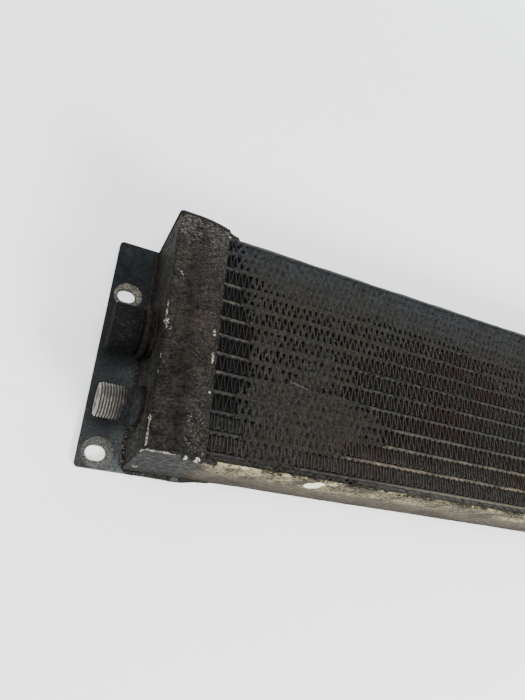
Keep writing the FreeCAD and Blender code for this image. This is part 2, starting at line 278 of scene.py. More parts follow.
class Finish:
    """One procedural material, whose colour starts plain and is coated layer by layer."""

    def __init__(self, name, colour, metallic=0.0, roughness=0.6, specular=0.5):
        self.material = bpy.data.materials.new(name)
        self.material.use_nodes = True
        self.tree = self.material.node_tree
        self.tree.nodes.clear()
        self.shader = self.tree.nodes.new("ShaderNodeBsdfPrincipled")
        for socket, share in (
                ("Metallic", metallic), ("Roughness", roughness), ("Specular IOR Level", specular)):
            self.shader.inputs[socket].default_value = share
        out = self.tree.nodes.new("ShaderNodeOutputMaterial")
        self.tree.links.new(self.shader.outputs["BSDF"], out.inputs["Surface"])
        self.place = self.value("TexCoord", output="Object")
        self.colour = colour

    def put(self, socket, given):
        """Links a socket to a pattern, or sets it to a plain number, vector or colour."""
        if isinstance(given, Value):
            self.tree.links.new(given.socket, socket)
        else:
            socket.default_value = (*given, 1.0) if socket.type == "RGBA" else given

    def value(self, kind, *inputs, output=0, **settings):
        """The output of a new node, with its first sockets linked or set."""
        node = self.tree.nodes.new("ShaderNode" + kind)
        for setting, choice in settings.items():
            setattr(node, setting, choice)
        for socket, given in zip(node.inputs, inputs):
            self.put(socket, given)
        return Value(self, node.outputs[output])

    def noise(self, size, detail=3.0, rough=0.55, stretch=(1, 1, 1), shift=0.0):
        """Noise with features about `size` mm across, longer where stretch is over 1."""
        scale = [1 / (size * MM * factor) for factor in stretch]
        moved = (shift, shift * 1.7, shift * 0.6)
        place = self.value("Mapping", self.place, moved, (0, 0, 0), scale)
        return self.value("TexNoise", place, 0.0, 1.0, detail, rough)

    def mix(self, share, a, b):
        """Colour a, with b over it where share is 1."""
        node = self.tree.nodes.new("ShaderNodeMix")
        node.data_type = "RGBA"
        for socket, given in ((0, share), (6, a), (7, b)):
            self.put(node.inputs[socket], given)
        return Value(self, node.outputs[2])

    def coat(self, share, colour):
        """Covers the colour so far with another, where share is 1."""
        self.colour = self.mix(share, self.colour, colour)

    def axis(self, name):
        """One coordinate of the surface point, in metres."""
        return self.value("SeparateXYZ", self.place, output=name)

    def zone(self, axis, low, high, out_low=0.0, out_high=1.0):
        """Maps one coordinate from low to high, in mm, to out_low..out_high."""
        return self.axis(axis).between(low * MM, high * MM, out_low, out_high)

    def from_middle(self, low, high, out_low=0.0, out_high=1.0):
        """Maps the distance from the cooler's middle along X, in metres."""
        return self.axis("X").join("ABSOLUTE").between(low, high, out_low, out_high)

    def facing_up(self):
        """1 where the surface faces up, 0 where it is upright."""
        normal = self.value("NewGeometry", output="Normal")
        return self.value("SeparateXYZ", normal, output="Z").between(0.0, 1.0)

    def field(self, name):
        """A share stored on the piece's own points, 0 where the piece has none."""
        return self.value("Attribute", output="Fac", attribute_name=name)

    def worn(self, size, detail, rough, shift):
        """1 where the piece's wear breaks through, along a torn edge."""
        torn = self.noise(size, detail, rough, shift=shift)
        return (self.field("wear") + torn).between(1.0, 1.06)

    def near_point(self, x, y, reach, fade):
        """1 within `reach` of an upright line through x, y, fading to 0 over `fade`."""
        flat = self.value("VectorMath", self.place, (1, 1, 0), operation="MULTIPLY")
        away = self.value("VectorMath", flat, (x, y, 0), output="Value", operation="DISTANCE")
        return away.between(reach, reach + fade, 1.0, 0.0)

    def far_dust_and_sheen(self):
        """Coats with blue-grey that thickens towards the core's far long side: dust, with a painted
        sky sheen along the far edge.
        """
        spread = self.axis("Y") + self.noise(24, 4) * (50 * MM)
        haze = self.mix(
            self.noise(2.0, 5, 0.75).between(0.38, 0.64),
            (0.0095, 0.01, 0.0108), (0.035, 0.0375, 0.04))
        self.coat(spread.between(68 * MM, 104 * MM, 0.0, 0.9), haze)

    def finish(self, roughness=None, height=None, height_size=None):
        """Joins colour, roughness and bump, height_size mm high, to the shader."""
        self.put(self.shader.inputs["Base Color"], self.colour)
        if roughness is not None:
            self.put(self.shader.inputs["Roughness"], roughness)
        if height is not None:
            bump = self.tree.nodes.new("ShaderNodeBump")
            bump.inputs["Strength"].default_value = 1.0
            bump.inputs["Distance"].default_value = height_size * MM
            self.put(bump.inputs["Height"], height)
            self.put(self.shader.inputs["Normal"], Value(self, bump.outputs["Normal"]))
        return self.material


def old_paint(
        name, dark, light, stain, stain_share, dust, dust_share, chip, rings=(), near_dust=0.0,
        shine=0.07, grit_range=(0.48, 0.62), foot_dust_and_light=0.0):
    """Aged paint: mottled, stained, dusty, and chipped to bare metal where it is worn. On the
    plate, part of the dust film is painted light, by the tank's foot and between the ports.
    """
    skin = Finish(name, dark, specular=shine)
    mottle = skin.noise(3.6, 6, 0.75) + (skin.noise(11, 4, 0.7) - 0.5) * 0.5
    skin.coat(mottle.between(0.4, 0.62), light)
    skin.coat(skin.noise(1.3, 3, 0.6, shift=6.1).between(0.34, 0.47, 1.0, 0.0) * 0.8, dark)
    patches = skin.noise(26, 4, 0.6, shift=3.1).between(0.62 - stain_share, 0.66)
    skin.coat(patches * skin.noise(3, 4, 0.7, shift=7.7).between(0.4, 0.62), stain)
    grit = skin.noise(1.3, 5, 0.75, (1.6, 1, 1), 1.3).between(*grit_range)
    near_end = skin.axis("Y").between(NEAR_Y, NEAR_Y + 140 * MM)
    # Painted light in part: on the plate, foot and ports_apart thicken the dust film by the tank's
    # foot and between the two ports, where the tank and ports cast shade.
    foot = skin.from_middle(HALF_TANK_X, HALF_TANK_X + 16 * MM, foot_dust_and_light, 0.0)
    ports_apart = (skin.axis("Y") + (-NEAR_Y - 62 * MM)).join("ABSOLUTE")
    share = skin.field("dust") + skin.noise(14, 3).between(0.35, 0.7, 0, 0.3)
    share = share + near_end.between(0.0, 1.0, near_dust, 0.0)
    share = share + foot * near_end.between(0.3, 1.0, 1.0, 0.0)
    share = share + ports_apart.between(6 * MM, 30 * MM, 0.3 * foot_dust_and_light, 0.0)
    film = grit * skin.facing_up().between(0.0, 1.0, 0.85, 1.0) * share.between(0.0, 1.0)
    skin.coat(film * dust_share, dust)
    heavy = grit.between(0.1, 0.6) * share.between(1.0, 2.0)
    skin.coat(heavy * 0.75, tuple(2.4 * part for part in dust))
    bare = skin.worn(1.4, 5, 0.8, 5.7)
    for x, y, strength in rings:
        ring = skin.near_point(x, y, WASHER_RADIUS, 0.5 * MM)
        rubbed = skin.noise(2.2, 5, 0.75, shift=2.2 + x).between(0.36, 0.58)
        bare = bare.join("MAXIMUM", ring * rubbed * strength)
    metal = skin.mix(skin.noise(0.9, 3, 0.6, shift=4.4).between(0.38, 0.6), light, chip)
    skin.coat(bare, metal)
    gloss = skin.noise(4, 5, 0.7, shift=8.0).between(0.35, 0.65, 0.45, 0.85)
    return skin.finish(gloss, skin.noise(1.5, 5, 0.7) + bare * -0.25, 0.9)


def worn_side_metal():
    """Bare side plate: gold-brown flakes along its crown, smooth grey-brown streaks below."""
    skin = Finish("worn_side_metal", (0.015, 0.0131, 0.009), specular=0.02)
    streak = skin.noise(1.8, 6, 0.8, (6, 1, 1))
    skin.coat(streak.between(0.4, 0.62), (0.092, 0.08, 0.055))
    cloud = skin.noise(16, 6, 0.75, (2.5, 1, 1)).between(0.43, 0.58)
    skin.coat(cloud * 0.62, (0.034, 0.029, 0.02))
    purple = skin.noise(21, 4, 0.6, (2, 1, 1), 6.6).between(0.54, 0.64)
    skin.coat(purple * 0.5, (0.046, 0.038, 0.038))
    clusters = (skin.noise(24, 3, 0.5, shift=5.1) - 0.5) * 0.4
    flakes = (clusters + skin.noise(2.2, 6, 0.9, (1.4, 1, 1), 4.0)).between(0.5, 0.57)
    flaked = skin.mix(flakes, (0.011, 0.0096, 0.0064), (0.355, 0.305, 0.185))
    climb = skin.axis("Z") + skin.noise(9, 4, 0.7, shift=1.7) * (14 * MM)
    crown = climb.between(35 * MM, 45 * MM)
    patch = skin.noise(26, 4, 0.7, (1.6, 1, 1), 2.9).between(0.36, 0.56, 0.55, 1.0)
    skin.coat(crown * patch * skin.zone("Y", -40, 40, 0.92, 0.45), flaked)
    scratch = skin.noise(0.6, 4, 0.7, (12, 1, 1), 3.3).between(0.6, 0.66)
    skin.coat(scratch * 0.7, (0.46, 0.42, 0.33))
    skin.coat(skin.worn(1.6, 6, 0.85, 9.0), (0.74, 0.7, 0.6))
    skin.coat(skin.zone("Z", 8, 28, 0.85, 0.0), (0.024, 0.021, 0.015))
    # Blue-grey band along the far plate's crown: dust, with a painted sky sheen.
    drift = skin.axis("Z") + skin.noise(11, 4, 0.7, shift=0.4) * (16 * MM)
    far_crown_dust_and_sheen = skin.zone("Y", 60, 78) * drift.between(48 * MM, 61 * MM)
    skin.coat(far_crown_dust_and_sheen * 0.95, (0.046, 0.048, 0.05))
    skin.coat(skin.field("dust"), (0.012, 0.0115, 0.01))
    height = skin.noise(1.2, 6, 0.75, (3, 1, 1)) + flakes * crown * 0.25
    return skin.finish(streak.between(0.4, 0.6, 0.42, 0.8), height, 0.8)


def dusty_tube():
    """Tube noses: dull metal under patchy dust, tan along the near long side."""
    skin = Finish("dusty_tube", (0.009, 0.0086, 0.0078), 0.1, 0.7, 0.25)
    tan = skin.mix(
        skin.noise(2.0, 5, 0.75, (3, 1, 1)).between(0.38, 0.62),
        (0.022, 0.019, 0.014), (0.13, 0.108, 0.072))
    skin.coat(skin.noise(2.2, 5, 0.75, (2, 1, 1), 2.0).between(0.42, 0.66), (0.03, 0.0278, 0.024))
    nose = (TUBE_YS[0] + 3 * MM, TUBE_YS[0] + 5 * MM)
    first = skin.axis("Y").between(*nose, 0.8, 0.0) * skin.zone("X", -130, -50)
    skin.coat(first, (0.072, 0.064, 0.049))
    drift = skin.axis("Y") + (skin.noise(30, 3) - 0.5) * 0.05
    near_side = drift.between(-56 * MM, -34 * MM, 1.0, 0.0) * skin.axis("Y").between(*nose)
    worn = skin.noise(22, 4, 0.7, shift=1.9).between(0.42, 0.56)
    skin.coat(near_side * skin.zone("X", -160, -110) * worn, tan)
    ends = skin.from_middle(219 * MM, 230 * MM)
    skin.coat(ends * 0.75, (0.0085, 0.0085, 0.0088))
    patchy = skin.noise(5, 4, 0.75, shift=5.0).between(0.45, 0.55)
    skin.coat(ends * skin.zone("Y", -40, -20) * patchy, (0.05, 0.045, 0.032))
    skin.far_dust_and_sheen()
    # Painted shade: the tube's sides are darker below the fin face, deep between the fins.
    skin.coat(skin.zone("Z", 48, 53, 1.0, 0.0), (0.01, 0.009, 0.008))
    return skin.finish(None, skin.noise(0.9, 5, 0.75), 0.5)


def dusty_fin():
    """Fin sheet: black and deep inside, dusty along the edges at the open face."""
    skin = Finish("dusty_fin", (0.01, 0.0094, 0.0085), roughness=0.75, specular=0.2)
    skin.coat(skin.noise(2.4, 5, 0.75).between(0.4, 0.64), (0.048, 0.044, 0.037))
    rust = skin.noise(34, 3, 0.5, shift=6.0).between(0.5, 0.62)
    skin.coat(rust * 0.75, (0.026, 0.0155, 0.011))
    by_tank = skin.from_middle(208 * MM, 220 * MM)
    skin.coat(by_tank * skin.zone("Y", -70, -50, 0.1, 0.9), (0.0062, 0.0062, 0.0068))
    skin.far_dust_and_sheen()
    inside = skin.mix(skin.noise(5, 3), (0.0085, 0.008, 0.0074), (0.022, 0.0202, 0.0172))
    skin.colour = skin.mix(skin.zone("Z", 51, 54.2), inside, skin.colour)
    return skin.finish(None, skin.noise(0.6, 3), 0.1)


def matted_dirt():
    """Felted grey-brown dirt that clogs the fins, its fibres lying across the tubes."""
    skin = Finish("matted_dirt", (0.004, 0.0038, 0.0032), roughness=0.95, specular=0.06)
    skin.coat(skin.noise(2.2, 6, 0.85).between(0.4, 0.6), (0.0245, 0.0235, 0.02))
    fibre = skin.noise(0.8, 5, 0.85, (0.9, 3.6, 1.5), 9.1).between(0.51, 0.59)
    skin.coat(fibre * 0.65, (0.05, 0.048, 0.041))
    warm = skin.noise(17, 3, 0.5, shift=4.0).between(0.5, 0.66)
    skin.coat(warm * 0.45, (0.022, 0.016, 0.011))
    crumbs = skin.noise(0.8, 3, 0.7, shift=7.0).between(0.63, 0.67)
    skin.coat(crumbs * 0.8, (0.105, 0.1, 0.086))
    skin.far_dust_and_sheen()
    skin.coat(skin.field("wear"), (0.12, 0.116, 0.104))
    # Darker where the 'dust' field is high: painted shade deep below the fin face, and a darker
    # dirt tone in the edge row.
    skin.coat(skin.field("dust"), (0.0035, 0.0033, 0.003))
    return skin.finish(None, skin.noise(1.2, 6, 0.85), 1.8)


def bright_thread():
    """Machined steel, bright at the stub's tip and dark with paint and oil at its root, with
    painted shade in the thread's grooves.
    """
    skin = Finish("bright_thread", (0.075, 0.066, 0.058), metallic=0.4, specular=0.4)
    skin.coat(skin.noise(1.6, 5, 0.7, (0.6, 2, 2)).between(0.36, 0.66), (0.3, 0.275, 0.245))
    skin.coat(skin.noise(1.4, 3, 0.6, shift=5.5).between(0.6, 0.68), (0.022, 0.018, 0.015))
    # Painted shade: the 'dust' field here holds the thread's groove depth, and the grooves are
    # darkened by it.
    skin.coat(skin.field("dust") * 0.95, (0.016, 0.014, 0.012))
    root = stub_low.x + 15 * MM
    fade = skin.axis("X") + (skin.noise(6, 3) - 0.5) * (7 * MM)
    painted = fade.between(root - 8 * MM, root + 1.5 * MM)
    root_paint = skin.mix(
        skin.noise(2.2, 5, 0.75, shift=1.1).between(0.4, 0.62),
        (0.007, 0.0073, 0.0075), (0.024, 0.025, 0.0255))
    skin.coat(painted, root_paint)
    skin.put(skin.shader.inputs["Metallic"], painted.between(0.0, 1.0, 0.4, 0.0))
    skin.put(skin.shader.inputs["Specular IOR Level"], painted.between(0.0, 1.0, 0.4, 0.04))
    gloss = skin.noise(2, 3, shift=3.0).between(0.3, 0.7, 0.36, 0.6)
    return skin.finish(gloss, skin.noise(0.5, 3), 0.1)


def moulded_cap():
    """Matt black rubber with a fine dusty speckle."""
    skin = Finish("moulded_cap", (0.0028, 0.003, 0.0032), roughness=0.9, specular=0.03)
    skin.coat(skin.noise(8, 4, 0.6), (0.0076, 0.008, 0.0083))
    speckle = skin.noise(1.6, 4, 0.7, (2, 1, 1), 2.4).between(0.52, 0.62)
    skin.coat(speckle * 0.65, (0.02, 0.0198, 0.019))
    return skin.finish(None, skin.noise(1.4, 5, 0.75), 1.0)


def plain_steel():
    """Oily steel of the pieces inside."""
    skin = Finish("plain_steel", (0.02, 0.019, 0.016), 0.3, 0.5, 0.3)
    skin.coat(skin.noise(6, 4, 0.6), (0.055, 0.05, 0.042))
    return skin.finish(None, skin.noise(1.0, 3), 0.1)


def pale_floor():
    """Plain pale floor."""
    skin = Finish("pale_floor", (0.86, 0.86, 0.86), roughness=0.9, specular=0.1)
    skin.coat(skin.noise(80, 2), (0.88, 0.88, 0.88))
    return skin.finish()


WASHER_MARKS = [
    (side * (HALF_PLATE_X - SLOT_INSET - 1.1 * MM), NEAR_Y + place + 0.4 * MM, strength)
    for side in (LEFT, RIGHT) for place, strength in SLOT_PLACES
]
TANK_PAINT = old_paint(
    "tank_paint", (0.0018, 0.0015, 0.0012), (0.0135, 0.0118, 0.0092), (0.018, 0.0122, 0.0078), 0.14,
    (0.044, 0.043, 0.039), 0.85, (0.31, 0.29, 0.24), shine=0.045)
END_PAINT = old_paint(
    "end_paint", (0.003, 0.0032, 0.0033), (0.01, 0.0104, 0.0104), (0.013, 0.01, 0.007), 0.08,
    (0.048, 0.045, 0.036), 0.85, (0.3, 0.28, 0.23))
PLATE_PAINT = old_paint(
    "plate_paint", (0.0024, 0.0029, 0.0034), (0.009, 0.0104, 0.0114), (0.007, 0.005, 0.004), 0.05,
    (0.044, 0.047, 0.048), 0.8, (0.25, 0.23, 0.185), WASHER_MARKS, 1.0,
    grit_range=(0.25, 0.85), foot_dust_and_light=0.7)
PORT_PAINT = old_paint(
    "port_paint", (0.0034, 0.0029, 0.0025), (0.0165, 0.014, 0.0118), (0.02, 0.012, 0.008), 0.14,
    (0.04, 0.037, 0.032), 0.5, (0.06, 0.052, 0.044), shine=0.03)
WELD_METAL = old_paint(
    "weld_metal", (0.003, 0.0029, 0.0027), (0.012, 0.0115, 0.0105), (0.012, 0.008, 0.0055), 0.1,
    (0.055, 0.052, 0.046), 0.8, (0.46, 0.44, 0.38))
SIDE_METAL = worn_side_metal()
TUBE_METAL = dusty_tube()
FIN_METAL = dusty_fin()
DIRT = matted_dirt()
THREAD_STEEL = bright_thread()
CAP_RUBBER = moulded_cap()
INNER_STEEL = plain_steel()


# ---- tanks ----
def crest_height(along):
    """Height of the tank's outside above the base, `along` from its outer wall."""
    along = np.asarray(along, float)
    run = TANK_WIDTH - CREST_FLAT
    drop = CREST_Z - LIP_Z
    radius = (run * run + drop * drop) / (2 * drop)
    past = np.clip(along - CREST_FLAT, 0, None)
    height = CREST_Z - radius + np.sqrt(radius * radius - past * past)
    short = np.clip(CREST_BEND - along, 0, CREST_BEND)
    return height - CREST_BEND + np.sqrt(CREST_BEND ** 2 - short ** 2)


def cover_profile():
    """Outline of the tank's cover from its foot to its lip, as (along, height) points."""
    rise = [(0, z) for z in np.linspace(PLATE_TOP, CREST_Z - CREST_BEND, 44)]
    turns = np.linspace(0, math.pi / 2, 9)[1:]
    bend = [
        (CREST_BEND * (1 - math.cos(turn)), CREST_Z - CREST_BEND * (1 - math.sin(turn)))
        for turn in turns
    ]
    top = [(a, float(crest_height(a))) for a in np.linspace(CREST_BEND, TANK_WIDTH, 60)[1:]]
    return np.array(rise + bend + top)


def profile_normals(profile):
    """Outward unit normals of an outline that runs up and then towards the core."""
    step = np.gradient(profile, axis=0)
    normal = np.stack([-step[:, 1], step[:, 0]], -1)
    return normal / np.linalg.norm(normal, axis=1)[:, None]


# Knocked-off paint on the left tank: middle (along, up_tank) and half sizes in mm, strength.
PAINT_CHIPS = (
    (1.3, 9, 0.9, 13, 0.62), (1.4, 20, 1.2, 2.5, 0.62), (1.6, 50, 0.7, 1.3, 0.62),
    (1.6, 61, 0.7, 2.2, 0.64), (2.2, 85, 2.8, 3.0, 0.52), (4.2, 81, 3.8, 2.0, 0.49),
    (1.4, 94, 0.9, 9.0, 0.56), (6.5, 166, 5, 8, 0.39), (13, 163, 6, 5, 0.4),
    (36.4, 87, 1.8, 3.6, 0.56), (37.2, 69, 1.3, 5.0, 0.62), (37.6, 45, 0.9, 1.2, 0.72),
    (30, 17, 8, 20, 0.43), (30, 34, 11, 40, 0.395), (38, 5, 1.5, 2, 0.52),
    (3.0, 166, 1.4, 8, 0.46), (16, 171, 9, 2.5, 0.4), (20, 140, 30, 60, 0.31),
)


def chipped(places, along):
    """Share of bare metal at points on the left cover."""
    up_tank = places[..., 1] - NEAR_Y
    wear = strongest(PAINT_CHIPS, along, up_tank, 0.7, 1.15)
    swing = np.hypot(along - 2.5 * MM, up_tank - 119 * MM)
    arc = (np.abs(swing - 7 * MM) < 0.55 * MM) & (along > 4 * MM) & (up_tank > 119 * MM)
    return np.maximum(wear, 0.52 * arc) * past(places[..., 2], 55, 58)


def tank_cover(side):
    """Bent cover sheet of one tank, dented, with a rough strip beside the fins."""
    node = "tank_cover_" + SIDE_NAME[side]
    low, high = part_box(node)
    profile = cover_profile()
    normal = profile_normals(profile)
    y, along, height = sweep(np.linspace(low.y, high.y, 236), profile)
    x = side * (HALF_TANK_X - along)
    places = np.stack([x, y, height], -1)
    strip = past(along, 20, 25)
    seed = 11 if side == LEFT else 31
    slant = np.stack([(x * 0.8 + y * 0.6) * 0.45, y * 0.8 - x * 0.6, height], -1)
    ripple = wobble(slant, 2.3, seed) + 0.4 * wobble(slant, 1.2, seed + 1)
    sink = 0.26 * MM * layers(places, 3.8, seed + 3) + 0.45 * MM * wobble(places, 24, seed)
    sink = sink + 0.26 * MM * wobble(places, 9, seed + 7) + 0.42 * MM * strip * ripple
    sink = np.clip(sink + 0.7 * MM, 0, 2 * MM)
    direction = np.stack([-side * normal[:, 0], 0 * normal[:, 0], normal[:, 1]], -1)
    outer = places - direction[None] * sink[..., None]
    inner = places - direction[None] * SHEET
    inner[..., 2] = np.maximum(inner[..., 2], PLATE_TOP)
    corner = np.exp(-((along - 1.6 * MM) / (1.6 * MM)) ** 2) * past(height, 57, 60)
    lip = np.exp(-((TANK_WIDTH - along) / (1.1 * MM)) ** 2)
    patchy = ease(wobble(places, 11, seed + 9), 0.25, 0.6)
    wear = np.clip((0.45 * corner + 0.42 * lip) * patchy, 0, 1)
    if side == LEFT:
        wear = np.maximum(wear * 0.6, chipped(places, along))
    # The far end's top gets more film, part dust and part painted sky sheen, and its walls get
    # less.
    far_dust_and_sheen = past(y, 35, 85)
    on_top = past(height, 50, 60)
    # The walls' thicker film is dust and also painted light, lifting walls that face away from the
    # lamps.
    dust = 0.1 + 0.4 * strip + 0.55 * (1 - on_top) + (0.9 * on_top - 0.15) * far_dust_and_sheen
    # Painted light: more film along the crest's outer edge, where its curve turns away from the
    # lamps.
    dust = dust + 0.32 * on_top * (1 - past(along, 8, 17))
    dust = dust + 0.2 * wobble(places, 7, seed + 8)
    far_corner = np.hypot((along - 9 * MM) / (13 * MM), (y - FAR_Y + 9 * MM) / (13 * MM))
    far_corner = far_corner + 0.3 * wobble(places, 4, seed + 6)
    dust = dust + 0.6 * on_top * (1 - ease(far_corner, 0.5, 1.2))
    # Painted light: more film low on the wall by the near end, where the corner lies in shade.
    near_wall = (1 - on_top) * (1 - past(y - NEAR_Y, 15, 120))
    dust = dust + near_wall * (0.7 + 0.7 * (1 - past(height, 8, 45)))
    return sheet_piece(
        "cover_skin_" + SIDE_NAME[side], outer, inner, TANK_PAINT, "tank_paint", node, wear, dust)


def cut_port_holes(cover):
    """Opens the left cover where its two ports pass through."""
    for y, radius in ((STUB_Y, 11 * MM), (PORT_Y, 14.9 * MM)):
        shape = bmesh.new()
        bmesh.ops.create_cone(
            shape, cap_ends=True, segments=64, radius1=radius, radius2=radius, depth=0.02)
        turn = Matrix.Rotation(math.radians(90), 4, "Y")
        bmesh.ops.transform(shape, matrix=turn, verts=shape.verts)
        bmesh.ops.translate(shape, vec=(-HALF_TANK_X, y, PORT_Z), verts=shape.verts)
        mesh = bpy.data.meshes.new("hole")
        shape.to_mesh(mesh)
        shape.free()
        cutter = add_object("hole", mesh)
        change = cover.modifiers.new("hole", "BOOLEAN")
        change.object = cutter
        change.solver = "EXACT"
        bpy.context.view_layer.update()
        graph = bpy.context.evaluated_depsgraph_get()
        result = bpy.data.meshes.new_from_object(cover.evaluated_get(graph))
        cover.modifiers.clear()
        cover.data = result
        bpy.data.objects.remove(cutter)


def end_plate(side, end):
    """Flat plate that closes a tank: crisp at the near end, rolled over at the far end."""
    node = "tank_end_" + end + "_" + SIDE_NAME[side]
    _, _, outward, face_y, back_y = plate_faces(node, end)
    roll = 1 * MM if end == "near" else 1.6 * MM
    spread = np.concatenate([
        np.linspace(0, 0.09, 9)[:-1], np.linspace(0.09, 0.91, 36), np.linspace(0.91, 1, 9)[1:]])
    along = TANK_WIDTH * spread
    rise = np.concatenate([np.linspace(0, 0.92, 52)[:-1], np.linspace(0.92, 1, 14)])
    top = crest_height(along)
    grid_along = np.repeat(along[None], len(rise), 0)
    grid_x = side * (HALF_TANK_X - grid_along)
    grid_z = PLATE_TOP + rise[:, None] * (top - PLATE_TOP)[None]
    outer = np.stack([grid_x, np.full(grid_x.shape, face_y), grid_z], -1)
    seed = 50 + side + (5 if end == "near" else 0)
    sink = 0.14 * MM * layers(outer, 3, seed) + 0.3 * MM * wobble(outer, 15, seed)
    edge = np.minimum.reduce([grid_along, TANK_WIDTH - grid_along, top[None] - grid_z])
    short = np.clip(roll - edge, 0, roll)
    rounding = roll - np.sqrt(roll * roll - short * short)
    sink = np.minimum(np.clip(sink + 0.35 * MM, 0, None) * (1 - short / roll) + rounding, 2.9 * MM)
    outer[..., 1] -= outward * sink
    inner = np.stack([grid_x, np.full(grid_x.shape, back_y), grid_z], -1)
    rim = 1 - past(edge, 0.35, 0.9)
    up_wall = past(grid_z, 50, 58)
    broken = 0.6 + 0.2 * wobble(outer, 5, seed + 4)
    wear = rim * up_wall * broken * (1 - past(grid_along, 22, 26))
    if end == "far":
        wear = wear * 0.4
    if end == "near" and side == LEFT:
        mark = np.maximum(
            np.abs(grid_along - 6 * MM) / (2 * MM), np.abs(grid_z - 18 * MM) / (4 * MM))
        wear = np.maximum(wear, 0.55 * (1 - ease(mark, 0.8, 1.1)))
    tan = past(grid_along, 22, 38) * past(grid_z, 8, 26)
    dust = 0.12 + 0.7 * tan + 0.28 * wobble(outer, 6, seed + 6)
    dust = dust + 0.9 * (1 - past(grid_z, 5, 18))
    return sheet_piece(
        "end_skin_" + end + "_" + SIDE_NAME[side], outer, inner, END_PAINT, "tank_paint", node,
        wear, dust)


def mounting_plate(side):
    """Mounting plate from the CAD's own outline, with its edges broken."""
    node = "mounting_plate_" + SIDE_NAME[side]
    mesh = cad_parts[node].data.copy()
    shape = bmesh.new()
    shape.from_mesh(mesh)
    bmesh.ops.remove_doubles(shape, verts=shape.verts, dist=1e-6)
    bmesh.ops.dissolve_limit(
        shape, angle_limit=math.radians(1), verts=shape.verts, edges=shape.edges)
    rims = [edge for edge in shape.edges if edge.calc_face_angle(0) > math.radians(50)]
    bmesh.ops.bevel(
        shape, geom=rims, offset=0.35 * MM, segments=2, profile=0.5, affect="EDGES")
    bmesh.ops.triangulate(shape, faces=shape.faces)
    shape.to_mesh(mesh)
    shape.free()
    mesh.polygons.foreach_set("use_smooth", [True] * len(mesh.polygons))
    mesh.set_sharp_from_angle(angle=math.radians(25))
    return dress(add_object("flange_" + SIDE_NAME[side], mesh), PLATE_PAINT, [node])


def bead_rings(line, size, across, rising, sides):
    """Rings round a line. across and rising are the bead's directions at each of its points."""
    turn = np.linspace(0, 2 * math.pi, sides, endpoint=False)[None, :, None]
    outward = np.cos(turn) * across[:, None] + np.sin(turn) * rising[:, None]
    return line[:, None] + size[:, None, None] * outward


def weld_bead(name, path, radius, seed, wear_share, dusty):
    """A run of weld along a path: overlapping ripples of uneven width.

    dusty gives the dust at the path's start and end; on the welds low by the plate it is partly
    painted light.
    """
    flat, ripple = 0.6, 2.4 * MM
    path = np.asarray(path, float)
    steps = np.linalg.norm(np.diff(path, axis=0), axis=1)
    travelled = np.concatenate([[0], np.cumsum(steps)])
    stations = np.linspace(0, travelled[-1], max(8, int(travelled[-1] / (0.5 * MM))))
    line = np.stack([np.interp(stations, travelled, path[:, axis]) for axis in range(3)], -1)
    tangent = np.gradient(line, axis=0)
    tangent = tangent / np.linalg.norm(tangent, axis=1)[:, None]
    upright = np.array([0.0, 0.0, 1.0])
    across = np.cross(tangent, upright)
    across = across / np.maximum(np.linalg.norm(across, axis=1), 1e-9)[:, None]
    rising = np.cross(across, tangent)
    swell = 1 + 0.16 * np.abs(np.sin(math.pi * stations / ripple)) + 0.22 * wobble(line, 7, seed)
    to_end = np.minimum(stations, travelled[-1] - stations)
    swell = swell * np.sqrt(np.clip(to_end / radius, 0.05, 1))
    rings = bead_rings(line, radius * swell, across, flat * rising, 14)
    rings = rings + 0.09 * radius * wobble(rings, 0.8, seed + 2)[..., None]
    points, faces = rod_solid(rings)
    wear = np.full(len(points), wear_share)
    along = (points - path[0]) @ (path[-1] - path[0]) / np.sum((path[-1] - path[0]) ** 2)
    dust = np.interp(along, (0, 1), dusty)
    return make_piece(
        name, points, faces, WELD_METAL, "tank_paint", crease=60, wear=wear, dust=dust)


